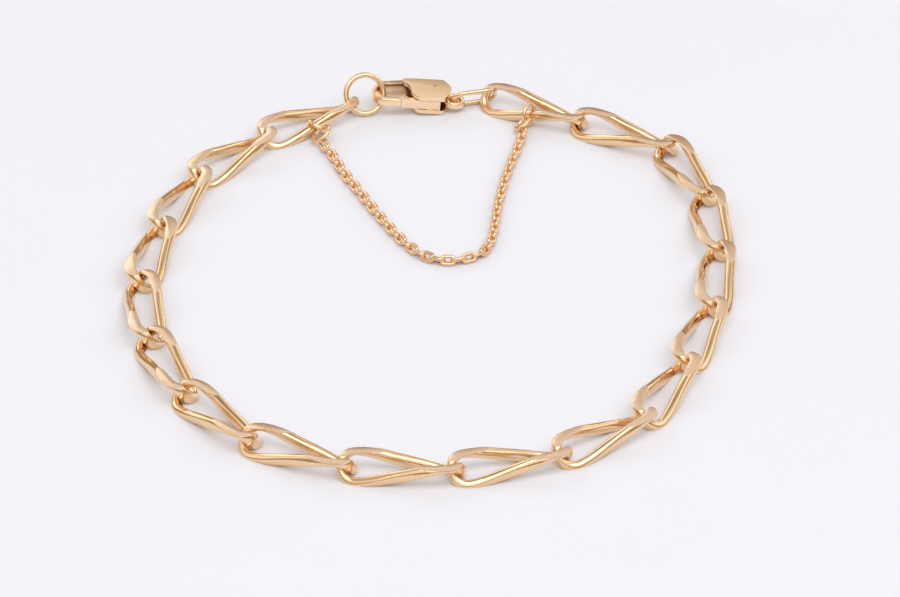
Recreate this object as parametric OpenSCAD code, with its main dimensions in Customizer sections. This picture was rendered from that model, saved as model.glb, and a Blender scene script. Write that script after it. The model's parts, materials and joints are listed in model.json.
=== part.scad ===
// Link bracelet laid in a loop: eighteen twisted oval links filed flat above and below,
// a round end ring, a trigger clasp and a fine safety chain inside the loop.
// The end ring hooks into link 1 and into the clasp, the clasp ring holds link 18.

/* [Links] */
// Distance from one joint to the next
link_pitch = 9.86; // [9.82:0.02:9.9]
// Depth of the link wire in the link's own plane, along the sides
side_depth = 0.92; // [0.86:0.02:0.96]
// Depth of the link wire at the tips that hook together
tip_depth = 0.68; // [0.64:0.02:0.7]
// Height of the link wire across the link's own plane
wire_height = 1.04; // [0.98:0.02:1.08]
// Play left where two links hook together
joint_play = 0.26; // [0.24:0.02:0.32]
// Width over the wire centrelines at a link's rounded ends
end_width = 3.08; // [3:0.02:3.2]
// Width over the wire centrelines half way along a link
waist_width = 2.6; // [2.5:0.05:2.8]
// Angle that each end is twisted out of the flat
end_twist = 50; // [48:1:52]
// How far the twist runs ahead of an even one, as a share
twist_lead = 0.2; // [0.1:0.05:0.25]
// Thickness left after the links are filed flat
filed_thickness = 1.9; // [1.84:0.02:1.96]
// Corner cut of the wire section, as a share of its half size
wire_corner = 0.34; // [0.3:0.02:0.4]
// Corner cut of the wire section at the tips
tip_corner = 0.55; // [0.5:0.05:0.6]
// How far a joint turned square would be pushed together
turn_slack = 0.8; // [0.6:0.1:1]

/* [End ring] */
// Outer diameter of the end ring
end_ring_outer = 4.3; // [4.28:0.02:4.32]
// Wire of the end ring
end_ring_wire = 0.44; // [0.42:0.02:0.46]

/* [Clasp] */
// Thickness of the clasp over both plates
clasp_thickness = 1.8; // [1.76:0.02:1.86]
// Thickness of each clasp plate
plate_thickness = 0.4; // [0.36:0.02:0.42]
// Length of the plates along the clasp
plate_length = 4.1; // [4:0.05:4.2]
// Width of the plates across the clasp
plate_width = 3.65; // [3.6:0.05:3.7]
// Outer radius of the hook's round end
hook_radius = 1.8; // [1.75:0.05:1.85]
// Width of the hook's bar
hook_bar = 0.7; // [0.64:0.02:0.72]
// Width of the nose and of the gate
gate_bar = 0.62; // [0.56:0.02:0.68]
// Height of the nose and of the lever
gate_height = 0.9; // [0.86:0.02:0.92]
// Play round the lever and its pin
lever_play = 0.05; // [0.04:0.01:0.06]
// Radius of the lever's pin
pin_radius = 0.26; // [0.22:0.02:0.28]
// Outer radius of the clasp's eye
eye_radius = 1.05; // [1.04:0.01:1.06]
// Radius of the hole in the eye
eye_hole = 0.6; // [0.59:0.01:0.62]
// Height of the eye
eye_height = 0.7; // [0.66:0.02:0.72]

/* [Small rings] */
// Wire of the clasp ring
clasp_ring_wire = 0.38; // [0.34:0.02:0.38]
// Outer length of the clasp ring
clasp_ring_length = 4.8; // [4.78:0.02:4.82]
// Outer width of the clasp ring
clasp_ring_width = 2.6; // [2.58:0.02:2.62]
// Outer diameter of the rings round the link wires
strand_ring_outer = 2.4; // [2.38:0.02:2.44]
// Outer diameter of the ring at the safety chain's left end
left_ring_outer = 2.3; // [2.28:0.02:2.32]
// Outer diameter of the ring at the safety chain's right end
right_ring_outer = 2.0; // [1.98:0.02:2.02]
// Wire of these four small rings
small_ring_wire = 0.32; // [0.28:0.02:0.32]

/* [Safety chain] */
// Distance from one chain link to the next
chain_pitch = 1.04; // [1.03:0.01:1.05]
// Outer length of a chain link
chain_link_length = 1.7; // [1.68:0.01:1.72]
// Outer width of a chain link
chain_link_width = 1.15; // [1.13:0.01:1.18]
// Wire of a chain link
chain_wire = 0.26; // [0.24:0.01:0.26]

/* [Hidden] */

gold = [0.86, 0.66, 0.36];

// Heading of each link on the surface in degrees, as drawn, from the end ring round to the clasp.
drawn_headings = [-144, -130, -109, -99, -83, -69, -51, -26, -4,
                  15, 39, 66, 74, 85, 95, 110, 150, 152];
last = len(drawn_headings) - 1;
function direction(a) = [cos(a), sin(a), 0];
function unit(v) = v / norm(v);
// Two links lie this far apart. A turned joint is pushed together, so that its wires clear.
function link_step(from, to) = let (a = direction(from), b = direction(to))
    (a + b) * link_pitch / 2 - unit(a + b) * turn_slack * pow(norm(cross(a, b)), 2);
function link_centers(h) = [for (i = 0, c = direction(h[0]) * link_pitch / 2; i <= last;
    c = c + link_step(h[i], h[min(i + 1, last)]), i = i + 1) c];
function joint_after(h) = link_centers(h)[last] + direction(h[last]) * link_pitch / 2;
// The middle of the hook's round end from the first joint, seen from above.
hook_center = [3.552, 1.57, 0];
// From the hook the clasp reaches to its plates and its eye, and the clasp ring on to the last joint.
plate_start = 1.2 * hook_radius;
eye_center = [plate_start + 1.05 * plate_length, -0.2071 * plate_width];
clasp_ring_turn = 14.7;
eye_and_joint_play = [1.058, 1.288, 0];
closing_joint = hook_center + [eye_center.x, 0, 0] + clasp_ring_length * direction(clasp_ring_turn)
    - eye_and_joint_play;
// A longer clasp or ring opens the loop: each link turns a little more, the further it is
// from the front of the loop, and then all turn alike, until the last joint lies there.
gap_change = closing_joint - joint_after(drawn_headings);
front_heading = (drawn_headings[floor(last / 2)] + drawn_headings[ceil(last / 2)]) / 2;
function total(v, i = 0) = i >= len(v) ? [0, 0, 0] : v[i] + total(v, i + 1);
function turned(h) = link_pitch * [-sin(h), cos(h), 0];
opening_move = total([for (h = drawn_headings) turned(h) * (h - front_heading) * PI / 180]);
turning_move = total([for (h = drawn_headings) turned(h)]);
moves_cross = cross(opening_move, turning_move).z;
loop_opening = cross(gap_change, turning_move).z / moves_cross;
loop_turning = cross(opening_move, gap_change).z / moves_cross * 180 / PI;
link_headings = [for (h = drawn_headings) h + loop_opening * (h - front_heading) + loop_turning];
from_first = link_centers(link_headings);
last_joint = joint_after(link_headings);
// The loop is moved so that its middle stands over the origin.
side_reach = (end_width + side_depth) / 2;
loop_start = -[max([for (c = from_first) c.x]) + min([for (c = from_first) c.x]),
    hook_center.y + hook_radius + min([for (c = from_first) c.y]) - side_reach, 0] / 2;
// Link form: two round ends and two sides that draw in at the waist, twisted along its length.
half_length = (link_pitch + joint_play + tip_depth) / 2;
end_radius = end_width / 2;
end_center = half_length - end_radius;
side_fullness = 0.85;
arc_steps = 8;
side_steps = 6;
function side_offset(x) = end_radius - (end_width - waist_width) / 2 * pow(cos(90 * x / end_center), 2);
flat_loop = concat(
    [for (i = [0:arc_steps]) let (a = -90 + 180 * i / arc_steps)
        [end_center + end_radius * cos(a), end_radius * sin(a)]],
    [for (i = [1:side_steps - 1]) let (x = end_center * (1 - 2 * i / side_steps)) [x, side_offset(x)]],
    [for (i = [0:arc_steps]) let (a = 90 + 180 * i / arc_steps)
        [-end_center + end_radius * cos(a), end_radius * sin(a)]],
    [for (i = [1:side_steps - 1]) let (x = -end_center * (1 - 2 * i / side_steps)) [x, -side_offset(x)]]);
function twist_at(u) = -end_twist * u * (1 + twist_lead * (1 - u * u));
function lift(p) = let (a = twist_at(p.x / half_length)) [p.x, p.y * cos(a), p.y * sin(a)];
// A wire swept round a closed loop of [centre, up direction, section] rows.
function wire_ring(center, along, across, section) =
    let (up = unit(across - (across * along) * along), side = cross(up, along))
    [for (s = section) center + s.x * side + s.y * up];
function next(i, n) = (i + 1) % n;
module swept_loop(rows) {
    n = len(rows);
    m = len(rows[0][2]);
    points = [for (i = [0:n - 1]) each wire_ring(rows[i][0],
        unit(rows[next(i, n)][0] - rows[(i + n - 1) % n][0]), rows[i][1], rows[i][2])];
    faces = [for (i = [0:n - 1], j = [0:m - 1]) let (a = i * m + j, b = i * m + next(j, m),
        c = next(i, n) * m + next(j, m), d = next(i, n) * m + j) each [[a, c, b], [a, d, c]]];
    polyhedron(points, faces, convexity = 6);
}
link_rows = [for (p = flat_loop) let (a = twist_at(p.x / half_length))
    [lift(p), [0, -sin(a), cos(a)], link_section(side_share(p))]];
function cut_corner(w, h, k) = [[w, h * (1 - k)], [w * (1 - k), h], [-w * (1 - k), h], [-w, h * (1 - k)],
    [-w, -h * (1 - k)], [-w * (1 - k), -h], [w * (1 - k), -h], [w, -h * (1 - k)]];
// The wire is thinner and rounder at the tips, where links hook, than along the sides.
function side_share(p) = min(1, abs(p.y) / (side_fullness * end_radius));
function blend(a, b, t) = a + (b - a) * t;
function link_section(t) = cut_corner(blend(tip_depth, side_depth, t) / 2, wire_height / 2,
    blend(tip_corner, wire_corner, t));

module link_form() {
    intersection() {
        swept_loop(link_rows);
        cube([3 * half_length, 3 * end_width, filed_thickness], center = true);
    }
}
module placed_link(i) color(gold) translate(loop_start + from_first[i] + [0, 0, filed_thickness / 2])
    rotate([0, 0, link_headings[i]]) link_form();
module link_01() placed_link(0);
module link_02() placed_link(1);
module link_03() placed_link(2);
module link_04() placed_link(3);
module link_05() placed_link(4);
module link_06() placed_link(5);
module link_07() placed_link(6);
module link_08() placed_link(7);
module link_09() placed_link(8);
module link_10() placed_link(9);
module link_11() placed_link(10);
module link_12() placed_link(11);
module link_13() placed_link(12);
module link_14() placed_link(13);
module link_15() placed_link(14);
module link_16() placed_link(15);
module link_17() placed_link(16);
module link_18() placed_link(17);

// Where each ring lies: [x, y, z of its middle, turn about x, turn about y, turn about z].
// The end ring is placed from the middle of the hook, the others from the joint that they are near.
end_ring_pose = [-2.09, -1.14, 1.93, 62, 0, 17];
clasp_ring_end = [0.761, 0.319, 1.14];
clasp_ring_middle = clasp_ring_end - clasp_ring_length / 2 * direction(clasp_ring_turn);
clasp_ring_pose = [clasp_ring_middle.x, clasp_ring_middle.y, clasp_ring_middle.z,
                   122.3, 0, clasp_ring_turn];
left_strand_pose = [-3.11, -4.12, 0.99, 43.8, 0, 128.8];
left_chain_pose = [-2.65, -5.58, 1.04, 37.5, 0, 273.4];
right_strand_pose = [3.84, -3.64, 1.2, 81.7, 0, 61.2];
right_chain_pose = [3.19, -4.93, 0.87, 37.7, 0, 252.3];
// Rings of round wire, drawn flat on their own middle.
module round_ring(outer, wire) {
    rotate_extrude($fn = 64) translate([(outer - wire) / 2, 0]) circle(d = wire, $fn = 24);
}
module oval_ring(length, width, wire) {
    for (side = [-1, 1]) {
        translate([side * (length - width) / 2, 0, 0]) rotate([0, 0, -90 * side])
            rotate_extrude(angle = 180, $fn = 48) translate([(width - wire) / 2, 0])
                circle(d = wire, $fn = 24);
        translate([-(length - width) / 2, side * (width - wire) / 2, 0]) rotate([0, 90, 0])
            cylinder(h = length - width, d = wire, $fn = 24);
    }
}
module at(pose) translate([pose[0], pose[1], pose[2]]) rotate([pose[3], pose[4], pose[5]]) children();

module end_ring() color(gold) translate(loop_start + hook_center) at(end_ring_pose)
    round_ring(end_ring_outer, end_ring_wire);
module clasp_ring() color(gold) translate(loop_start + last_joint) at(clasp_ring_pose)
    oval_ring(clasp_ring_length, clasp_ring_width, clasp_ring_wire);
module left_strand_ring() color(gold) translate(loop_start) at(left_strand_pose)
    round_ring(strand_ring_outer, small_ring_wire);
module left_chain_ring() color(gold) translate(loop_start) at(left_chain_pose)
    round_ring(left_ring_outer, small_ring_wire);
module right_strand_ring() color(gold) translate(loop_start + last_joint) at(right_strand_pose)
    round_ring(strand_ring_outer, small_ring_wire);
module right_chain_ring() color(gold) translate(loop_start + last_joint) at(right_chain_pose)
    round_ring(right_ring_outer, small_ring_wire);

// Clasp: seen from above, x runs from the hook to the eye and the gate is on the -y side.
// The hook's round end is a little smaller than the clasp is wide, so that its far bar slants.
hook_round = 0.89 * hook_radius;
hook_middle = [0, hook_round - hook_radius];
// The far side of the hook slants up to the plates.
slant_end = plate_start + plate_thickness;
hook_taper = 0.06;
pivot = [plate_start + 0.6 * plate_length, 0.1496 * plate_width];
hub_radius = 2 * pin_radius;
gate_start = 0.3 * plate_length;
gate_end = plate_start + 0.7 * plate_length;
gate_low = (clasp_thickness - gate_height) / 2;
gate_reach = norm(pivot - [gate_start, -hook_radius]);
web_start = plate_start + 0.33 * plate_length;
// Thumb ridge on the lever's near face, with upright grooves.
ridge_length = 0.3 * plate_length;
ridge_depth = 0.15;
ridge_height = 0.34;
ridge_grooves = 5;
groove_radius = 0.07;
// Plate outline, a row per corner: [share of plate length, share of plate width].
plate_outline = [[-0.17, 0.8], [-0.06, 0.7], [0.005, 0.56], [0.02, 0.33], [0.06, 0.18], [0.13, 0.07],
                 [0.22, 0], [0.76, 0], [0.8, 0.03], [0.93, 0.31], [0.99, 0.563], [0.96, 0.712],
                 [0.84, 0.966], [0.8, 1], [0.1, 1], [-0.17, 0.953]];
// Block between the plates at the tail and along the far side, in the same shares.
block_outline = [[0, 0.816], [0.72, 0.816], [0.8, 0.724], [0.8, 0.517], [0.88, 0.425], [0.99, 0.54],
                 [0.96, 0.712], [0.84, 0.966], [0.8, 1], [0, 0.989]];
module in_plates(outline) polygon([for (p = outline)
    [plate_start + p.x * plate_length, hook_radius + (p.y - 1) * plate_width]]);

// The hook in plan, drawn in from its outside by `inset`.
module hook_plan(inset) {
    r = hook_round - inset;
    translate(hook_middle) circle(r = r, $fn = 96);
    polygon([[0, hook_middle.y - r], [slant_end, hook_middle.y - r],
        [slant_end, hook_radius - inset], [0, hook_middle.y + r]]);
}
module pivot_column(radius, low, high) translate([pivot.x, pivot.y, low])
    cylinder(h = high - low, r = radius, $fn = 96);
// Seen from the end, the hook slims from the full thickness on the far side to the gate's height.
hook_slope = [[-1.2, gate_low], [-0.5, gate_low], [0.8, hook_taper], [1.2, hook_taper]];
module hook_wedge() rotate([90, 0, 90]) translate([0, 0, -2 * hook_radius]) linear_extrude(4 * hook_radius)
    polygon(concat([for (p = hook_slope) [p.x * hook_radius, p.y]],
        [for (i = [len(hook_slope) - 1:-1:0]) let (p = hook_slope[i])
            [p.x * hook_radius, clasp_thickness - p.y]]));
// The gate side of the hook ends in the nose, cut on a curve about the pivot.
module hook() difference() {
    intersection() {
        linear_extrude(clasp_thickness) difference() {
            hook_plan(0);
            hook_plan(hook_bar);
            translate([gate_start, -2 * hook_radius]) square([slant_end, 2 * hook_radius + hook_middle.y]);
        }
        hook_wedge();
    }
    intersection() {
        pivot_column(gate_reach + lever_play, -clasp_thickness, 2 * clasp_thickness);
        translate([0, -1.5 * hook_radius, -clasp_thickness])
            cube([slant_end, 1.5 * hook_radius, 3 * clasp_thickness]);
    }
}
module plate() linear_extrude(plate_thickness) in_plates(plate_outline);
module clasp_shell() difference() {
    union() {
        hook();
        plate();
        translate([0, 0, clasp_thickness - plate_thickness]) plate();
        translate([0, 0, plate_thickness / 2]) linear_extrude(clasp_thickness - plate_thickness)
            in_plates(block_outline);
        translate([eye_center.x, eye_center.y, (clasp_thickness - eye_height) / 2])
            cylinder(h = eye_height, r = eye_radius, $fn = 48);
    }
    translate([eye_center.x, eye_center.y, -clasp_thickness])
        cylinder(h = 3 * clasp_thickness, r = eye_hole, $fn = 48);
    pivot_column(pin_radius + lever_play / 2, -clasp_thickness, 2 * clasp_thickness);
}
module gate_plan() {
    translate([0, -hook_radius]) square([gate_end, gate_bar]);
    polygon([[web_start, gate_bar / 2 - hook_radius], [pivot.x - hub_radius, pivot.y],
        [pivot.x + hub_radius, pivot.y], [gate_end, gate_bar / 2 - hook_radius]]);
    translate(pivot) circle(r = hub_radius, $fn = 48);
}
module lever_form() difference() {
    union() {
        intersection() {
            translate([0, 0, gate_low]) linear_extrude(gate_height) gate_plan();
            pivot_column(gate_reach, gate_low, gate_low + gate_height);
        }
        translate([gate_end - ridge_length, -hook_radius - ridge_depth, gate_low])
            cube([ridge_length, 2 * ridge_depth, ridge_height]);
    }
    pivot_column(pin_radius + lever_play, -clasp_thickness, 2 * clasp_thickness);
    for (i = [1:ridge_grooves])
        translate([gate_end - ridge_length * (1 - i / (ridge_grooves + 1)), -hook_radius - ridge_depth, 0])
            cylinder(h = clasp_thickness, r = groove_radius, $fn = 16);
}
// The clasp's tail rests on the surface and its hook on the end ring: [turn about y, turn about z].
clasp_lean = [6, 4];
tail = [plate_start + 0.99 * plate_length, 0, 0];
module at_clasp() translate(loop_start + hook_center + tail) rotate([0, clasp_lean[0], clasp_lean[1]])
    translate(-tail) children();
module clasp_body() color(gold) at_clasp() clasp_shell();
module clasp_lever() color(gold) at_clasp() lever_form();
module clasp_pin() color(gold) at_clasp() pivot_column(pin_radius, 0, clasp_thickness);

// Safety chain: oval links of fine wire, each turned a quarter from the last, along a route.
// How the chain lies, from the first joint: [x, y] of the points that it passes.
chain_route = [[-2.55, -6.4], [-2.1, -7.6], [-1.43, -8.9], [-0.48, -11.7], [1.12, -15.35], [2.77, -19.13],
               [4.52, -22.8], [5.72, -24.9], [7.22, -26.8], [9.22, -27.75], [11.42, -27.35], [13.07, -26],
               [13.82, -23.2], [14.12, -20], [14.47, -16.8], [14.92, -13.8], [15.52, -10.6], [16.3, -7.2],
               [16.9, -4.1]];
// At both ends the chain rises from the surface to its rings.
chain_rise = 0.2;
rise_reach = 2 * chain_pitch;
chain_roll = 45;
route_end = len(chain_route) - 1;
route_steps = 8;
// The route was drawn with the last joint here, and its far end keeps to that joint.
route_joint = [13.602, 1.5, 0];
route_shift = closing_joint - route_joint;
function route_spot(i) = let (k = max(0, min(route_end, i)))
    chain_route[k] + [route_shift.x, route_shift.y] * k / route_end;
function route_curve(i, t) = let (a = route_spot(i - 1), b = route_spot(i), c = route_spot(i + 1),
    d = route_spot(i + 2))
    b + (c - a) * t / 2 + (a - 2.5 * b + 2 * c - d / 2) * t * t + (-a + 3 * b - 3 * c + d) * t * t * t / 2;
route_points = [for (i = [0:route_end - 1], j = [0:route_steps - 1]) route_curve(i, j / route_steps),
    route_spot(route_end)];
route_last = len(route_points) - 1;
route_lengths = [for (i = 0, s = 0; i <= route_last;
    s = s + norm(route_points[min(i + 1, route_last)] - route_points[i]), i = i + 1) s];
route_x = [for (i = [0:route_last]) [route_lengths[i], route_points[i].x]];
route_y = [for (i = [0:route_last]) [route_lengths[i], route_points[i].y]];
chain_length = route_lengths[route_last];
chain_count = round(chain_length / chain_pitch);
chain_step = chain_length / chain_count;
chain_radius = (chain_link_width - chain_wire) / 2;
chain_rest = chain_radius * sin(chain_roll) + chain_wire / 2;
function chain_joint(k) = let (s = k * chain_step, near = min(s, chain_length - s))
    [lookup(s, route_x), lookup(s, route_y),
        chain_rest + chain_rise * pow(max(0, 1 - near / rise_reach), 2)];
chain_arc = 4;
chain_sides = 5;
chain_section = [for (i = [0:chain_sides - 1]) let (a = 360 * i / chain_sides)
    chain_wire / 2 * [cos(a), sin(a)]];
chain_end = chain_link_length / 2 - chain_wire / 2 - chain_radius;
chain_rows = [for (side = [0, 180], i = [0:chain_arc]) let (a = side - 90 + 180 * i / chain_arc)
    [[chain_end * cos(side) + chain_radius * cos(a), chain_radius * sin(a), 0], [0, 0, 1], chain_section]];
module chain_link(k) {
    from = chain_joint(k);
    to = chain_joint(k + 1);
    run = to - from;
    translate((from + to) / 2) rotate([0, -asin(run.z / norm(run)), atan2(run.y, run.x)])
        rotate([chain_roll * (k % 2 == 0 ? 1 : -1), 0, 0]) swept_loop(chain_rows);
}
module safety_chain() color(gold) translate([loop_start.x, loop_start.y, 0])
    for (k = [0:chain_count - 1]) chain_link(k);

link_01();
link_02();
link_03();
link_04();
link_05();
link_06();
link_07();
link_08();
link_09();
link_10();
link_11();
link_12();
link_13();
link_14();
link_15();
link_16();
link_17();
link_18();
end_ring();
clasp_body();
clasp_lever();
clasp_pin();
clasp_ring();
left_strand_ring();
left_chain_ring();
right_strand_ring();
right_chain_ring();
safety_chain();
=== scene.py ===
# Gold link bracelet laid in a loop: twisted links filed flat, an end ring,
# a trigger clasp, small rings and a fine safety chain. Shapes are drawn in millimetres.
import json
import math

import bmesh
import bpy
import numpy as np
from mathutils import Matrix, Vector


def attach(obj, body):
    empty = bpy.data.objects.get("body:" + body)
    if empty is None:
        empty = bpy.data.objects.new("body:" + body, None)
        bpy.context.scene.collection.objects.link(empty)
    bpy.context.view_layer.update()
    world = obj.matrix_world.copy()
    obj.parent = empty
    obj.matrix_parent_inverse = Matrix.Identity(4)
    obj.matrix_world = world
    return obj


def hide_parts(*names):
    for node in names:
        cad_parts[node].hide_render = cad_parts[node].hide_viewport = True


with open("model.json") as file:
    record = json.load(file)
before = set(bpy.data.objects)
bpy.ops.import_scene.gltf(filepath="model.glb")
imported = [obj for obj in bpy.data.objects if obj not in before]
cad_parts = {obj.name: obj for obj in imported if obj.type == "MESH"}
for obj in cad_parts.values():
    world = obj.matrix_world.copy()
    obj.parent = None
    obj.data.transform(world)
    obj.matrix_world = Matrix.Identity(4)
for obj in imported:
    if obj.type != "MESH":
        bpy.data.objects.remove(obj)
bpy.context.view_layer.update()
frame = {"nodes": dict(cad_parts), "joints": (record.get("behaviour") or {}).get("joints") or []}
mm = 0.001
weldDistance = 1e-4  # points nearer than this become one
print("frame loaded:", len(frame["nodes"]), "nodes")


# Where things lie, read from the frame

def nodePoints(name):
    vertices = frame["nodes"][name].data.vertices
    return np.array(sorted({tuple(round(c / mm, 4) for c in v.co) for v in vertices}))


def lyingAxes(points):
    # centre of the points and their axes, longest first
    centre = (points.min(axis=0) + points.max(axis=0)) / 2
    spread = points - points.mean(axis=0)
    axes = np.linalg.eigh(spread.T @ spread)[1]
    along, across = Vector(axes[:, 2]), Vector(axes[:, 1])
    turn = Matrix((along, across, along.cross(across))).transposed()
    return Matrix.Translation(Vector(centre)) @ turn.to_4x4()


def reach(points, place):
    # half sizes of the points along the axes of that place
    local = np.array([place.inverted() @ Vector(p) for p in points])
    return [float(half) for half in np.abs(local).max(axis=0)]


# Wire: a grid rolled round a path, with a UV map that follows the wire

def roundedSection(angle, halfWidth, halfHeight, roundness):
    power = 2 / roundness  # 2 is an ellipse, more is squarer
    c, s = math.cos(angle), math.sin(angle)
    return (halfWidth * math.copysign(abs(c) ** power, c),
            halfHeight * math.copysign(abs(s) ** power, s))


def rollGrid(bm, along, around, place):
    # place(u, angle) gives a point: u runs 0 to 1 along the wire
    verts = bmesh.ops.create_grid(
        bm, x_segments=along, y_segments=around, size=0.5, calc_uvs=True)["verts"]
    for v in verts:
        v.co = place(v.co.x + 0.5, 2 * math.pi * (v.co.y + 0.5))
    bmesh.ops.remove_doubles(bm, verts=verts, dist=weldDistance)


def newShape():
    bm = bmesh.new()
    bm.loops.layers.uv.new("UVMap")
    # a mask for painted shade, set only inside the clasp's hook
    bm.verts.layers.float.new("shadeMask")
    return bm


def takeIn(bm, part):
    # adds one finished shape to another
    mesh = bpy.data.meshes.new("part")
    part.to_mesh(mesh)
    part.free()
    bm.from_mesh(mesh)
    bpy.data.meshes.remove(mesh)


def makePiece(bm, name, body, materials, replaced, sharpAngle=40):
    bmesh.ops.recalc_face_normals(bm, faces=bm.faces)
    for face in bm.faces:
        face.smooth = True
    for edge in bm.edges:
        edge.smooth = edge.calc_face_angle(0) < math.radians(sharpAngle)
    mesh = bpy.data.meshes.new(name)
    bmesh.ops.scale(bm, vec=(mm, mm, mm), verts=bm.verts)
    bm.to_mesh(mesh)
    bm.free()
    for material in materials:
        mesh.materials.append(material)
    piece = bpy.data.objects.new(name, mesh)
    bpy.context.scene.collection.objects.link(piece)
    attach(piece, body)
    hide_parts(*replaced)


# Finishes

# colours, then the size, depth and contrast of the marks
gold = {
    "wire": (0.92, 0.67, 0.425, 1),
    "filed": (0.89, 0.67, 0.5, 1),
    "clasp": (1, 0.76, 0.52, 1),
    "chain": (0.9, 0.62, 0.4, 1),
    "deep": (0.72, 0.43, 0.2, 1),
    # the colour of the painted shade inside the clasp's hook
    "paintedShade": (0.22, 0.115, 0.045, 1),
    "deepShare": 0.1,
    "patchScale": 0.13,
    "dentScale": 900,
    "scuffScale": 6500,
    "markHeight": 0.00002,
    "markStrength": 0.35,
    "lineContrast": (0.3, 0.7),
    "patchContrast": (0.35, 0.65),
    "scuffContrast": (0.52, 0.68),
    # how patchy the painted shade is
    "shadePatchContrast": (0.3, 0.7),
}


def startGroup(name, inputs, outputs):
    group = bpy.data.node_groups.new(name, "ShaderNodeTree")
    for label, kind in inputs:
        group.interface.new_socket(label, in_out="INPUT", socket_type="NodeSocket" + kind)
    for label, kind in outputs:
        group.interface.new_socket(label, in_out="OUTPUT", socket_type="NodeSocket" + kind)
    return group, group.nodes.new("NodeGroupInput"), group.nodes.new("NodeGroupOutput")


def addNoise(tree, vector, scale, detail, roughness=0.55):
    node = tree.nodes.new("ShaderNodeTexNoise")
    node.inputs["Scale"].default_value = scale
    node.inputs["Detail"].default_value = detail
    node.inputs["Roughness"].default_value = roughness
    tree.links.new(vector, node.inputs["Vector"])
    return node.outputs["Fac"]


def addRange(tree, value, low, high, toLow=0.0, toHigh=1.0):
    node = tree.nodes.new("ShaderNodeMapRange")
    for socket, number in zip(("From Min", "From Max", "To Min", "To Max"),
                              (low, high, toLow, toHigh)):
        node.inputs[socket].default_value = number
    tree.links.new(value, node.inputs["Value"])
    return node.outputs["Result"]


def addMath(tree, operation, *values):
    node = tree.nodes.new("ShaderNodeMath")
    node.operation = operation
    for socket, value in zip(node.inputs, values):
        if isinstance(value, (int, float)):
            socket.default_value = value
        else:
            tree.links.new(value, socket)
    return node.outputs["Value"]


def addMix(tree, factor, first, second):
    # this node's colours are inputs 6 and 7 and output 2
    node = tree.nodes.new("ShaderNodeMix")
    node.data_type = "RGBA"
    for place, value in ((0, factor), (6, first), (7, second)):
        if isinstance(value, tuple):
            node.inputs[place].default_value = value
        else:
            tree.links.new(value, node.inputs[place])
    return node.outputs[2]


def buildDrawnLines():
    # fine lines that run along the first axis, as from drawing or filing metal
    group, start, end = startGroup(
        "drawnLines", [("Vector", "Vector"), ("Stretch", "Vector")],
        [("Lines", "Float"), ("Patches", "Float")])
    stretch = group.nodes.new("ShaderNodeVectorMath")
    stretch.operation = "MULTIPLY"
    group.links.new(start.outputs["Vector"], stretch.inputs[0])
    group.links.new(start.outputs["Stretch"], stretch.inputs[1])
    lines = addNoise(group, stretch.outputs["Vector"], 1, 5, 0.7)
    patches = addNoise(group, stretch.outputs["Vector"], gold["patchScale"], 3)
    group.links.new(addRange(group, lines, *gold["lineContrast"]), end.inputs["Lines"])
    group.links.new(addRange(group, patches, *gold["patchContrast"]), end.inputs["Patches"])
    return group


def buildHandling():
    # soft dents and small scuffs that worn gold gets all over
    group, start, end = startGroup(
        "handling", [("Vector", "Vector")], [("Dents", "Float"), ("Scuffs", "Float")])
    dents = addNoise(group, start.outputs["Vector"], gold["dentScale"], 2)
    scuffs = addNoise(group, start.outputs["Vector"], gold["scuffScale"], 4, 0.7)
    group.links.new(dents, end.inputs["Dents"])
    group.links.new(addRange(group, scuffs, *gold["scuffContrast"]), end.inputs["Scuffs"])
    return group


def placeGroup(tree, group, vector):
    node = tree.nodes.new("ShaderNodeGroup")
    node.node_tree = group
    tree.links.new(vector, node.inputs["Vector"])
    return node


def startMaterial(name):
    material = bpy.data.materials.new(name)
    material.use_nodes = True
    tree = material.node_tree
    return material, tree, tree.nodes["Principled BSDF"]


def addBump(tree, shader, height):
    bump = tree.nodes.new("ShaderNodeBump")
    bump.inputs["Distance"].default_value = gold["markHeight"]
    bump.inputs["Strength"].default_value = gold["markStrength"]
    tree.links.new(height, bump.inputs["Height"])
    tree.links.new(bump.outputs["Normal"], shader.inputs["Normal"])


drawnLines = buildDrawnLines()
handling = buildHandling()


def buildMetal(name, tone, stretch, lineDepth, rough, useUv=True, paintedShade=0.0, dentDepth=1.0):
    material, tree, shader = startMaterial(name)
    shader.inputs["Metallic"].default_value = 1
    places = tree.nodes.new("ShaderNodeTexCoord")
    lines = placeGroup(tree, drawnLines, places.outputs["UV" if useUv else "Object"])
    lines.inputs["Stretch"].default_value = stretch
    marks = placeGroup(tree, handling, places.outputs["Object"])
    grain = addMath(tree, "MULTIPLY", lines.outputs["Lines"], lineDepth)
    addBump(tree, shader,
            addMath(tree, "MULTIPLY_ADD", marks.outputs["Dents"], dentDepth, grain))
    share = gold["deepShare"]
    darker = tuple((1 - share) * a + share * b for a, b in zip(gold[tone], gold["deep"]))
    colour = addMix(tree, lines.outputs["Patches"], gold[tone], darker)
    # painted shade: the colour darkens towards the shade colour where the hook's mask is set, in
    # soft patches
    if paintedShade:
        shadeMask = tree.nodes.new("ShaderNodeAttribute")
        shadeMask.attribute_name = "shadeMask"
        patchy = addRange(tree, marks.outputs["Dents"], *gold["shadePatchContrast"],
                          0.5 * paintedShade, paintedShade)
        patchyShade = addMath(tree, "MULTIPLY", shadeMask.outputs["Fac"], patchy)
        colour = addMix(tree, patchyShade, colour, gold["paintedShade"])
    tree.links.new(colour, shader.inputs["Base Color"])
    tree.links.new(addRange(tree, marks.outputs["Scuffs"], 0, 1, *rough),
                   shader.inputs["Roughness"])
    return material


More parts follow.
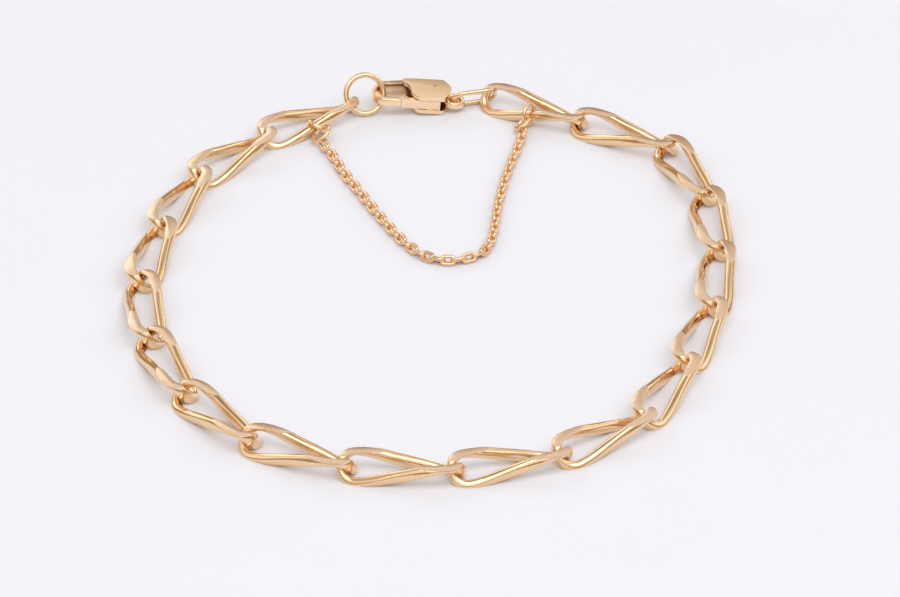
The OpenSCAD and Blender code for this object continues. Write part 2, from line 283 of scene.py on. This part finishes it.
# stretch is how close the drawn lines lie along each axis, and rough is the
# roughness between the scuffs and on them
finishes = {
    "wireGold": {"tone": "wire", "stretch": (3, 60, 1), "lineDepth": 0.3, "rough": (0.13, 0.2)},
    "filedGold": {"tone": "filed", "stretch": (6, 90, 1), "lineDepth": 0.4,
                  "rough": (0.24, 0.3), "dentDepth": 0.5},
    "ringGold": {"tone": "wire", "stretch": (2, 40, 1), "lineDepth": 0.3, "rough": (0.12, 0.2)},
    "chainGold": {"tone": "chain", "stretch": (2, 12, 1), "lineDepth": 0.2, "rough": (0.12, 0.2)},
    # the clasp's finish carries painted shade inside its hook
    "claspGold": {"tone": "clasp", "stretch": (900, 3500, 3500), "lineDepth": 0.5,
                  "rough": (0.2, 0.32), "useUv": False, "paintedShade": 0.9},
}
wireGold, filedGold, ringGold, chainGold, claspGold = (
    buildMetal(name, **finish) for name, finish in finishes.items())
print("finishes made")


# Links

linkForm = {
    "pitch": 9.86,
    "jointPlay": 0.26,
    "tipDepth": 0.68,
    "sideDepth": 0.95,
    "tipHeight": 1.04,
    "sideHeight": 1.09,
    "endWidth": 3.08,
    "waistWidth": 2.6,
    "endTwist": 50,
    "twistLead": 0.2,
    "filedThickness": 1.9,
    "sideFullness": 0.85,
    "sideRoundness": 2.45,
    "tipRoundness": 2.15,
    "rimRadius": 0.03,
    "rimWeld": 0.008,
    "stations": 112,
    "sides": 28,
    "count": 18,
}
endRadius = linkForm["endWidth"] / 2
halfLength = (linkForm["pitch"] + linkForm["jointPlay"] + linkForm["tipDepth"]) / 2
endCentre = halfLength - endRadius
arcLength = math.pi * endRadius
sideLength = 2 * endCentre
loopLength = 2 * (arcLength + sideLength)


def flatLoop(u):
    # the wire's middle line before the twist: two round ends and two sides
    run = (u % 1) * loopLength
    half = 1 if run < loopLength / 2 else -1
    run %= loopLength / 2
    if run < arcLength:
        angle = run / endRadius - math.pi / 2
        x = endCentre + endRadius * math.cos(angle)
        y = endRadius * math.sin(angle)
    else:
        x = endCentre - (run - arcLength)
        drawn = (linkForm["endWidth"] - linkForm["waistWidth"]) / 2
        y = endRadius - drawn * math.cos(math.pi / 2 * x / endCentre) ** 2
    return half * x, half * y


def twistAt(x):
    share = x / halfLength
    return -math.radians(linkForm["endTwist"]) * share * (
        1 + linkForm["twistLead"] * (1 - share * share))


def twistedLoop(u):
    x, y = flatLoop(u)
    angle = twistAt(x)
    return Vector((x, y * math.cos(angle), y * math.sin(angle)))


def linkSurface(u, angle):
    step = 0.001
    x, y = flatLoop(u)
    turn = twistAt(x)
    along = (twistedLoop(u + step) - twistedLoop(u - step)).normalized()
    up = Vector((0, -math.sin(turn), math.cos(turn)))
    up = (up - along * up.dot(along)).normalized()
    share = min(1, abs(y) / (linkForm["sideFullness"] * endRadius))
    depth, height, roundness = (
        linkForm["tip" + of] + (linkForm["side" + of] - linkForm["tip" + of]) * share
        for of in ("Depth", "Height", "Roundness"))
    a, b = roundedSection(angle, depth / 2, height / 2, roundness)
    return twistedLoop(u) + up.cross(along) * a + up * b


def fileFlat(bm, level):
    # cuts the link at that height and closes the cut; the rim it returns is softened by the
    # caller
    bmesh.ops.bisect_plane(
        bm, geom=bm.verts[:] + bm.edges[:] + bm.faces[:], dist=weldDistance,
        plane_co=(0, 0, level), plane_no=(0, 0, math.copysign(1, level)), clear_outer=True)
    bmesh.ops.remove_doubles(bm, verts=bm.verts, dist=linkForm["rimWeld"])
    cut = [e for e in bm.edges if e.is_boundary]
    flats = bmesh.ops.holes_fill(bm, edges=cut, sides=0)["faces"]
    uv = bm.loops.layers.uv.active
    for face in flats:
        face.material_index = 1
        for loop in face.loops:
            loop[uv].uv = loop.vert.co.xy / loopLength
    return cut


def buildLink():
    bm = newShape()
    rollGrid(bm, linkForm["stations"], linkForm["sides"], linkSurface)
    rims = [fileFlat(bm, side * linkForm["filedThickness"] / 2) for side in (1, -1)]
    edges = [e for rim in rims for e in rim if e.is_valid]
    bmesh.ops.bevel(
        bm, geom=edges, offset=linkForm["rimRadius"], offset_type="OFFSET", segments=2,
        profile=0.5, affect="EDGES", clamp_overlap=False, material=-1)
    return bm


def buildLinks():
    form = buildLink()
    for i in range(1, linkForm["count"] + 1):
        node = f"link_{i:02d}"
        lying = lyingAxes(nodePoints(node))
        heading = math.atan2(lying[1][0], lying[0][0])
        place = Matrix.Translation(lying.translation) @ Matrix.Rotation(heading, 4, "Z")
        bm = form.copy()
        bmesh.ops.transform(bm, matrix=place, verts=bm.verts)
        makePiece(bm, f"twistedLink{i:02d}", "bracelet", [wireGold, filedGold],
                  [node], sharpAngle=32)
    form.free()
    print("links made")


buildLinks()


# Rings and safety chain: ovals of round wire, laid as their solids lie

ringForm = {"stations": 96, "sides": 20, "wireGain": 1.22}
chainForm = {"stations": 28, "sides": 12, "wireGain": 1.5}


def ovalSurface(halfLength, halfWidth, halfWire):
    radius = halfWidth - halfWire
    straight = halfLength - halfWidth
    loop = 2 * math.pi * radius + 4 * straight

    def place(u, angle):
        run = (u % 1) * loop
        half = 1 if run < loop / 2 else -1
        run %= loop / 2
        if run < math.pi * radius:
            turn = run / radius - math.pi / 2
            out = Vector((math.cos(turn), math.sin(turn), 0))
            middle = Vector((straight, 0, 0)) + radius * out
        else:
            out = Vector((0, 1, 0))
            middle = Vector((straight - (run - math.pi * radius), radius, 0))
        spot = middle + halfWire * (math.cos(angle) * out + math.sin(angle) * Vector((0, 0, 1)))
        return Vector((half * spot.x, half * spot.y, spot.z))

    return place


def addOval(bm, points, form):
    place = lyingAxes(points)
    halfLength, halfWidth, halfWire = reach(points, place)
    part = newShape()
    rollGrid(part, form["stations"], form["sides"],
             ovalSurface(max(halfLength, halfWidth), halfWidth, form["wireGain"] * halfWire))
    bmesh.ops.transform(part, matrix=place, verts=part.verts)
    takeIn(bm, part)


def buildRings():
    for node, name in {
        "end_ring": "endRing",
        "clasp_ring": "claspRing",
        "left_strand_ring": "leftStrandRing",
        "left_chain_ring": "leftChainRing",
        "right_strand_ring": "rightStrandRing",
        "right_chain_ring": "rightChainRing",
    }.items():
        bm = newShape()
        addOval(bm, nodePoints(node), ringForm)
        makePiece(bm, name, "bracelet", [ringGold], [node])
    print("rings made")


def looseParts(points, faces):
    # groups of points that are joined by faces
    owner = list(range(len(points)))

    def top(i):
        while owner[i] != i:
            owner[i] = owner[owner[i]]
            i = owner[i]
        return i

    for face in faces:
        for other in face[1:]:
            owner[top(other)] = top(face[0])
    groups = {}
    for i in range(len(points)):
        groups.setdefault(top(i), []).append(points[i])
    return [np.array(group) for group in groups.values()]


def buildSafetyChain():
    mesh = frame["nodes"]["safety_chain"].data
    index = {}
    spots = [index.setdefault(tuple(round(c / mm, 3) for c in v.co), len(index))
             for v in mesh.vertices]
    links = looseParts(list(index), [[spots[i] for i in p.vertices] for p in mesh.polygons])
    bm = newShape()
    for points in links:
        addOval(bm, points, chainForm)
    makePiece(bm, "safetyChain", "bracelet", [chainGold], ["safety_chain"])
    print("safety chain made:", len(links), "links")


buildRings()
buildSafetyChain()


# Clasp: seen from above, x runs from the hook to the eye, and the gate is on the -y side

clasp = {
    "thickness": 1.8,
    "plateThickness": 0.4,
    "plateLength": 4.1,
    "plateWidth": 3.65,
    "hookRadius": 1.8,
    "hookBar": 0.7,
    "gateBar": 0.62,
    "gateHeight": 0.9,
    "leverPlay": 0.05,
    "pinRadius": 0.26,
    "eyeRadius": 1.05,
    "eyeHole": 0.6,
    "eyeHeight": 0.7,
    "hookInset": 0.06,
    "noseSpare": 0.3,
    "lean": 6,
    "turn": 4,
    "ridgeGrooves": 5,
    "grooveRadius": 0.07,
    "ridgeDepth": 0.15,
    "ridgeHeight": 0.34,
    "webInset": 0.02,
    "hubInset": 0.01,
    # places as shares of the hook's radius
    "bendAt": 0.89,
    "platesAt": 1.2,
    # places as shares of the plates' length and width
    "pivotAt": (0.6, 0.1496),
    "eyeAt": (1.05, -0.2071),
    "gateSpan": (0.3, 0.7),
    "webAt": 0.33,
    "ridgeShare": 0.3,
    # how round edges and corners are, and how square the bars' sections
    "plateCorner": 0.12,
    "plateEdge": 0.11,
    "blockCorner": 0.08,
    "gateEdge": 0.07,
    "leverEdge": 0.03,
    "pinEdge": 0.05,
    "hookRoundness": 4.5,
    "eyeRoundness": 3.2,
    # how finely each form is divided
    "hookGrid": (72, 28),
    "eyeGrid": (48, 20),
    "hubSides": 32,
    "pinSides": 48,
    "gateTipSteps": 4,
    "grooveSteps": 6,
    "cornerSteps": 5,
    "plateRimSteps": 4,
    "pinRimSteps": 3,
    # the painted shade on the hook's inside: how near the bar's inner face it begins, where it
    # goes on along the far bar, and between which shares of the height it deepens
    "shadeShare": 0.75,
    "shadeStart": 0.2,
    "shadeWidth": (0.3, 1.3),
    "shadeHeights": (0.45, 0.8),
}

# places and lengths that follow from those sizes
hookRound = clasp["bendAt"] * clasp["hookRadius"]
hookMiddle = hookRound - clasp["hookRadius"]
plateStart = clasp["platesAt"] * clasp["hookRadius"]
slantEnd = plateStart + clasp["plateThickness"]
pivot, eyeCentre = (
    Vector((plateStart + x * clasp["plateLength"], y * clasp["plateWidth"]))
    for x, y in (clasp["pivotAt"], clasp["eyeAt"]))
gateStart = clasp["gateSpan"][0] * clasp["plateLength"]
gateEnd = plateStart + clasp["gateSpan"][1] * clasp["plateLength"]
gateLow = (clasp["thickness"] - clasp["gateHeight"]) / 2
gateReach = math.hypot(pivot.x - gateStart, pivot.y + clasp["hookRadius"])
webStart = plateStart + clasp["webAt"] * clasp["plateLength"]
hubRadius = 2 * clasp["pinRadius"]
ridgeLength = clasp["ridgeShare"] * clasp["plateLength"]
# across the hook, as shares of its radius, and how far it stays below the clasp's faces
hookRows = [
    (-1.2, gateLow), (-0.5, gateLow), (0.8, clasp["hookInset"]), (1.2, clasp["hookInset"])]
# corners as shares of the plates' length and width
plateOutline = [(-0.17, 0.8), (-0.06, 0.7), (0.005, 0.56), (0.02, 0.33), (0.06, 0.18),
                (0.13, 0.07), (0.22, 0), (0.76, 0), (0.8, 0.03), (0.93, 0.31), (0.99, 0.563),
                (0.96, 0.712), (0.84, 0.966), (0.8, 1), (0.1, 1), (-0.17, 0.953)]
blockOutline = [(0, 0.816), (0.72, 0.816), (0.8, 0.724), (0.8, 0.517), (0.88, 0.425),
                (0.97, 0.54), (0.94, 0.712), (0.83, 0.95), (0.79, 0.98), (0, 0.97)]
claspPlace = (
    Matrix.Translation(Vector(frame["joints"][0]["pos_m"]) / mm)
    @ Matrix.Rotation(math.radians(clasp["turn"]), 4, "Z")
    @ Matrix.Rotation(math.radians(clasp["lean"]), 4, "Y")
    @ Matrix.Translation((-pivot.x, -pivot.y, -clasp["thickness"] / 2)))


def inPlates(outline):
    return [(plateStart + x * clasp["plateLength"],
             clasp["hookRadius"] + (y - 1) * clasp["plateWidth"]) for x, y in outline]


def roundEdges(bm, edges, radius, segments):
    bmesh.ops.bevel(
        bm, geom=edges, offset=radius, offset_type="OFFSET", segments=segments,
        profile=0.5, affect="EDGES", clamp_overlap=True, material=-1)


def slab(outline, low, high, cornerRadius, edgeRadius):
    # a flat outline with rounded corners, raised between two heights, its rims rounded
    part = newShape()
    corners = [part.verts.new((x, y, low)) for x, y in outline]
    part.faces.new(corners)
    if cornerRadius:
        bmesh.ops.bevel(
            part, geom=corners, offset=cornerRadius, offset_type="OFFSET",
            segments=clasp["cornerSteps"], profile=0.5, affect="VERTICES",
            clamp_overlap=True, material=-1)
    raised = bmesh.ops.extrude_face_region(part, geom=part.faces[:])["geom"]
    bmesh.ops.translate(part, vec=(0, 0, high - low),
                        verts=[v for v in raised if isinstance(v, bmesh.types.BMVert)])
    bmesh.ops.recalc_face_normals(part, faces=part.faces)
    rims = [e for e in part.edges
            if abs(e.verts[0].co.z - e.verts[1].co.z) < weldDistance and len(e.link_faces) == 2
            and any(len(f.verts) > 4 for f in e.link_faces)]
    if edgeRadius:
        roundEdges(part, rims, edgeRadius, clasp["plateRimSteps"])
    return part


def hookHalfHeight(y):
    # the hook slims from the full thickness on the far side to the gate's height
    return clasp["thickness"] / 2 - np.interp(y / clasp["hookRadius"], *zip(*hookRows))


def hookPath(u):
    # from the far side of the plates round the hook to its nose
    bar = clasp["hookBar"] / 2
    radius = hookRound - bar
    far = Vector((slantEnd, clasp["hookRadius"] - bar))
    bend = Vector((0, hookMiddle + radius))
    lengths = [(far - bend).length, math.pi * radius, gateStart + clasp["noseSpare"]]
    run = u * sum(lengths)
    if run < lengths[0]:
        return far.lerp(bend, run / lengths[0])
    run -= lengths[0]
    if run < lengths[1]:
        angle = math.pi / 2 + run / radius
        return Vector((radius * math.cos(angle), hookMiddle + radius * math.sin(angle)))
    return Vector((run - lengths[1], hookMiddle - radius))


def hookSurface(u, angle):
    step = 0.01
    spot = hookPath(u)
    along = hookPath(min(1, u + step)) - hookPath(max(0, u - step))
    out = Vector((along.y, -along.x)).normalized()
    a, b = roundedSection(angle, clasp["hookBar"] / 2, hookHalfHeight(spot.y),
                          clasp["hookRoundness"])
    point = spot + out * a
    if u > 1 - step / 4:
        # the nose ends on a curve about the pivot
        swing = gateReach + clasp["leverPlay"]
        point.x = pivot.x - math.sqrt(swing ** 2 - (point.y - pivot.y) ** 2)
    return Vector((point.x, point.y, clasp["thickness"] / 2 + b))


def addHook(bm):
    part = newShape()
    rollGrid(part, *clasp["hookGrid"], hookSurface)
    bmesh.ops.holes_fill(part, edges=[e for e in part.edges if e.is_boundary], sides=0)
    # painted shade inside the hook, darkest along the upper half
    shadeMask = part.verts.layers.float["shadeMask"]
    for v in part.verts:
        reachOut = math.hypot(v.co.x, v.co.y - hookMiddle)
        inBend = reachOut < hookRound - clasp["shadeShare"] * clasp["hookBar"]
        onFarBar = (v.co.x > clasp["shadeStart"]
                    and clasp["shadeWidth"][0] < v.co.y < clasp["shadeWidth"][1])
        if inBend or onFarBar:
            v[shadeMask] = np.interp(v.co.z / clasp["thickness"], clasp["shadeHeights"], (0, 1))
    takeIn(bm, part)


def addEye(bm):
    middle = (clasp["eyeRadius"] + clasp["eyeHole"]) / 2
    wall = (clasp["eyeRadius"] - clasp["eyeHole"]) / 2

    def place(u, angle):
        a, b = roundedSection(angle, wall, clasp["eyeHeight"] / 2,
                              clasp["eyeRoundness"])
        turn = 2 * math.pi * u
        return Vector((eyeCentre.x + (middle + a) * math.cos(turn),
                       eyeCentre.y + (middle + a) * math.sin(turn),
                       clasp["thickness"] / 2 + b))

    part = newShape()
    rollGrid(part, *clasp["eyeGrid"], place)
    takeIn(bm, part)


def buildClaspBody():
    bm = newShape()
    plate = clasp["plateThickness"]
    top = clasp["thickness"]
    for low, high in ((0, plate), (top - plate, top)):
        takeIn(bm, slab(inPlates(plateOutline), low, high,
                        clasp["plateCorner"], clasp["plateEdge"]))
    takeIn(bm, slab(inPlates(blockOutline), plate / 2, top - plate / 2,
                    clasp["blockCorner"], 0))
    addHook(bm)
    addEye(bm)
    bmesh.ops.transform(bm, matrix=claspPlace, verts=bm.verts)
    makePiece(bm, "claspBody", "bracelet", [claspGold], ["clasp_body"])


def grooved(left, right, near, far):
    # a strip whose near edge has a row of round grooves
    outline = [(left, far), (left, near)]
    count, steps = clasp["ridgeGrooves"], clasp["grooveSteps"]
    for i in range(1, count + 1):
        x = left + (right - left) * i / (count + 1)
        for step in range(steps + 1):
            angle = math.pi * step / steps
            outline.append((x - clasp["grooveRadius"] * math.cos(angle),
                            near + clasp["grooveRadius"] * math.sin(angle)))
    return outline + [(right, near), (right, far)]


def buildClaspLever():
    bm = newShape()
    high = gateLow + clasp["gateHeight"]
    near = -clasp["hookRadius"]
    far = near + clasp["gateBar"]
    # the gate's tip is a curve about the pivot
    gate = [(gateEnd, near), (gateEnd, far)]
    for step in range(clasp["gateTipSteps"], -1, -1):
        y = near + (far - near) * step / clasp["gateTipSteps"]
        gate.append((pivot.x - math.sqrt(gateReach ** 2 - (y - pivot.y) ** 2), y))
    takeIn(bm, slab(gate, gateLow, high, 0, clasp["gateEdge"]))
    web = [(webStart, near + clasp["gateBar"] / 2), (gateEnd, near + clasp["gateBar"] / 2),
           (pivot.x + hubRadius, pivot.y), (pivot.x - hubRadius, pivot.y)]
    turns = [math.tau * i / clasp["hubSides"] for i in range(clasp["hubSides"])]
    hub = [(pivot.x + hubRadius * math.cos(turn), pivot.y + hubRadius * math.sin(turn))
           for turn in turns]
    for outline, inset in ((web, clasp["webInset"]), (hub, clasp["hubInset"])):
        takeIn(bm, slab(outline, gateLow + inset, high - inset, 0, clasp["leverEdge"]))
    ridge = grooved(gateEnd - ridgeLength, gateEnd, near - clasp["ridgeDepth"],
                    near + clasp["ridgeDepth"] / 2)
    takeIn(bm, slab(ridge, gateLow, gateLow + clasp["ridgeHeight"], 0, clasp["leverEdge"]))
    bmesh.ops.transform(bm, matrix=claspPlace, verts=bm.verts)
    makePiece(bm, "claspLever", "lever", [claspGold], ["clasp_lever"])


def buildClaspPin():
    bm = newShape()
    bmesh.ops.create_cone(
        bm, cap_ends=True, segments=clasp["pinSides"],
        radius1=clasp["pinRadius"], radius2=clasp["pinRadius"], depth=clasp["thickness"],
        matrix=Matrix.Translation((pivot.x, pivot.y, clasp["thickness"] / 2)))
    rims = [e for e in bm.edges if any(len(f.verts) > 4 for f in e.link_faces)]
    roundEdges(bm, rims, clasp["pinEdge"], clasp["pinRimSteps"])
    bmesh.ops.transform(bm, matrix=claspPlace, verts=bm.verts)
    makePiece(bm, "claspPin", "bracelet", [claspGold], ["clasp_pin"])


buildClaspBody()
buildClaspLever()
buildClaspPin()
print("clasp made")


# Floor, light and camera, in metres

studio = {
    "floorTone": (0.855, 0.88, 0.975, 1),
    "floorSize": 4,
    "floorShade": 0.985,
    "floorClouds": 60,
    "floorRoughness": 0.65,
    "floorShine": 0.25,
    "roomTone": (1, 0.955, 0.87, 1),
    "panelTone": (0.96, 0.985, 1.04),
    "horizonTone": (0.42, 0.32, 0.2, 1),
    "horizon": (0.26, 0.62),
    "zenithTone": (0.4, 0.34, 0.26, 1),
    "zenith": (0.76, 0.92),
    "roomStrength": 0.9,
    "focus": (0.00174, -0.002737, 0),
    "distance": 0.5589,
    "elevation": 32.32,
    "lens": 241,
    "sensor": 36,
    "clip": (0.01, 20),
}
# place, size and brightness of each light panel
panels = {
    "overhead": ((0.12, -0.26, 0.8), (1, 0.56), 1.92),
    "back": ((-0.82, 1.1, 0.75), (1.6, 0.5), 0.95),
    "left": ((-0.9, 0.1, 0.45), (0.7, 0.5), 0.3),
    "backRight": ((0.62, 0.95, 0.42), (0.5, 0.35), 1.2),
    "right": ((0.9, 0.2, 0.5), (0.6, 0.5), 0.6),
    "front": ((0.05, -0.95, 0.5), (1.2, 0.45), 0.5),
}


def buildFloor():
    bm = bmesh.new()
    bmesh.ops.create_grid(bm, x_segments=1, y_segments=1, size=studio["floorSize"] / 2)
    mesh = bpy.data.meshes.new("floor")
    bm.to_mesh(mesh)
    bm.free()
    material, tree, shader = startMaterial("palePaper")
    places = tree.nodes.new("ShaderNodeTexCoord")
    clouds = addNoise(tree, places.outputs["Object"], studio["floorClouds"], 3)
    tone = studio["floorTone"]
    shade = tuple(studio["floorShade"] * c for c in tone[:3]) + (1,)
    tree.links.new(addMix(tree, clouds, tone, shade), shader.inputs["Base Color"])
    shader.inputs["Roughness"].default_value = studio["floorRoughness"]
    shader.inputs["Specular IOR Level"].default_value = studio["floorShine"]
    mesh.materials.append(material)
    floor = bpy.data.objects.new("floor", mesh)
    bpy.context.scene.collection.objects.link(floor)


def buildLights():
    for name, (spot, size, brightness) in panels.items():
        light = bpy.data.lights.new(name, "AREA")
        light.shape = "RECTANGLE"
        light.size, light.size_y = size
        light.color = studio["panelTone"]
        light.energy = brightness * math.pi * size[0] * size[1]
        panel = bpy.data.objects.new(name, light)
        panel.location = spot
        panel.rotation_euler = Vector(spot).to_track_quat("Z", "Y").to_euler()
        bpy.context.scene.collection.objects.link(panel)


def buildRoom():
    # a pale room, darker low down and straight above
    world = bpy.data.worlds.new("softRoom")
    world.use_nodes = True
    tree = world.node_tree
    places = tree.nodes.new("ShaderNodeTexCoord")
    split = tree.nodes.new("ShaderNodeSeparateXYZ")
    tree.links.new(places.outputs["Generated"], split.inputs["Vector"])
    height = addRange(tree, split.outputs["Z"], *studio["horizon"])
    wall = addMix(tree, height, studio["horizonTone"], studio["roomTone"])
    overhead = addRange(tree, split.outputs["Z"], *studio["zenith"])
    background = tree.nodes["Background"]
    tree.links.new(addMix(tree, overhead, wall, studio["zenithTone"]),
                   background.inputs["Color"])
    background.inputs["Strength"].default_value = studio["roomStrength"]
    bpy.context.scene.world = world


def buildCamera():
    camera = bpy.data.objects.new("camera", bpy.data.cameras.new("camera"))
    camera.data.sensor_width = studio["sensor"]
    camera.data.lens = studio["lens"]
    camera.data.clip_start, camera.data.clip_end = studio["clip"]
    angle = math.radians(studio["elevation"])
    back = Vector((0, -math.cos(angle), math.sin(angle)))
    camera.location = Vector(studio["focus"]) + studio["distance"] * back
    camera.rotation_euler = back.to_track_quat("Z", "Y").to_euler()
    bpy.context.scene.collection.objects.link(camera)
    bpy.context.scene.camera = camera


buildFloor()
buildLights()
buildRoom()
buildCamera()
bpy.context.scene.view_settings.view_transform = "Standard"
print("studio made")
